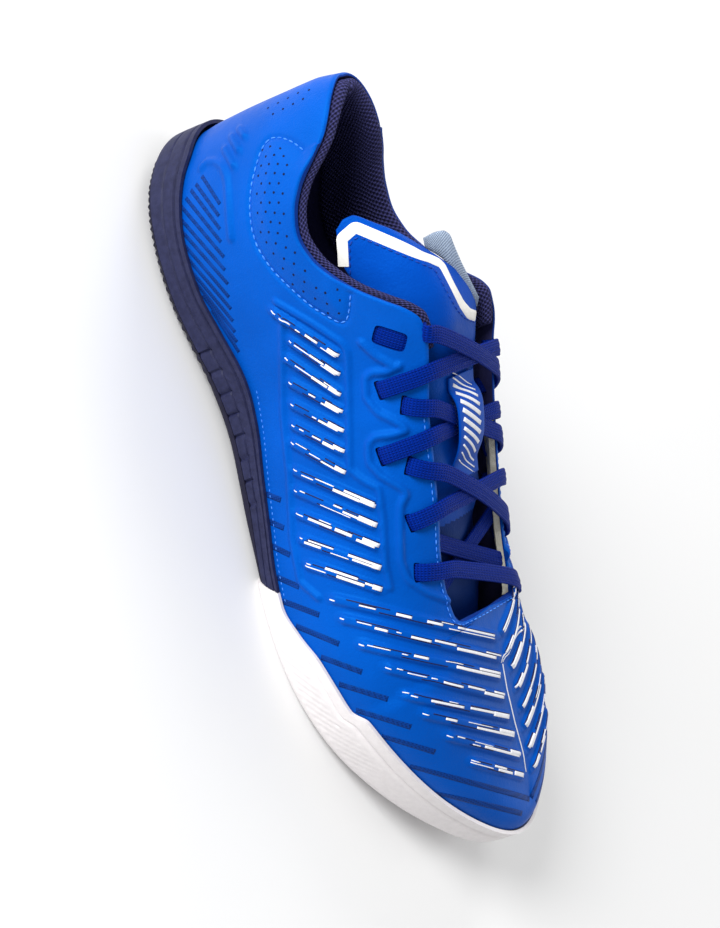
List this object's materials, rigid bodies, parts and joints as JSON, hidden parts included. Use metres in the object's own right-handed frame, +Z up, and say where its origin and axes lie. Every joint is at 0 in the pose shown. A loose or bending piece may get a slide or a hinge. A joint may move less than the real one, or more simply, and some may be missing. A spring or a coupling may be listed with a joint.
{
  "type": "indoor soccer shoe",
  "caption": "Low-cut laced indoor soccer shoe with a moulded blue upper, padded collar, slanted tongue, navy rear cup sole and white forefoot rubber.",
  "frame": {"origin": "middle of the object's box in plan, on the ground under the sole", "axes": "+X toward the toe, +Y toward the medial side of the right foot, +Z up"},
  "size_m": [0.2898, 0.104, 0.0953],
  "materials": {
    "upper_synthetic": "satin coated synthetic leather",
    "lining_mesh": "matte knitted mesh",
    "rear_sole": "matte moulded foam rubber",
    "heel_rubber": "matte",
    "forefoot_rubber": "satin",
    "lace_textile": "woven flat lace"
  },
  "bodies": {
    "root": {"upper": "upper_synthetic", "collar_lining": "lining_mesh", "tongue": "upper_synthetic", "tongue_loop": "upper_synthetic", "insole": "lining_mesh", "midsole": "rear_sole", "heel_outsole": "heel_rubber", "forefoot_outsole": "forefoot_rubber", "lace_bar": "lace_textile", "lace_cross_front": "lace_textile", "lace_cross_middle": "lace_textile", "lace_cross_rear": "lace_textile"}
  },
  "joints": []
}
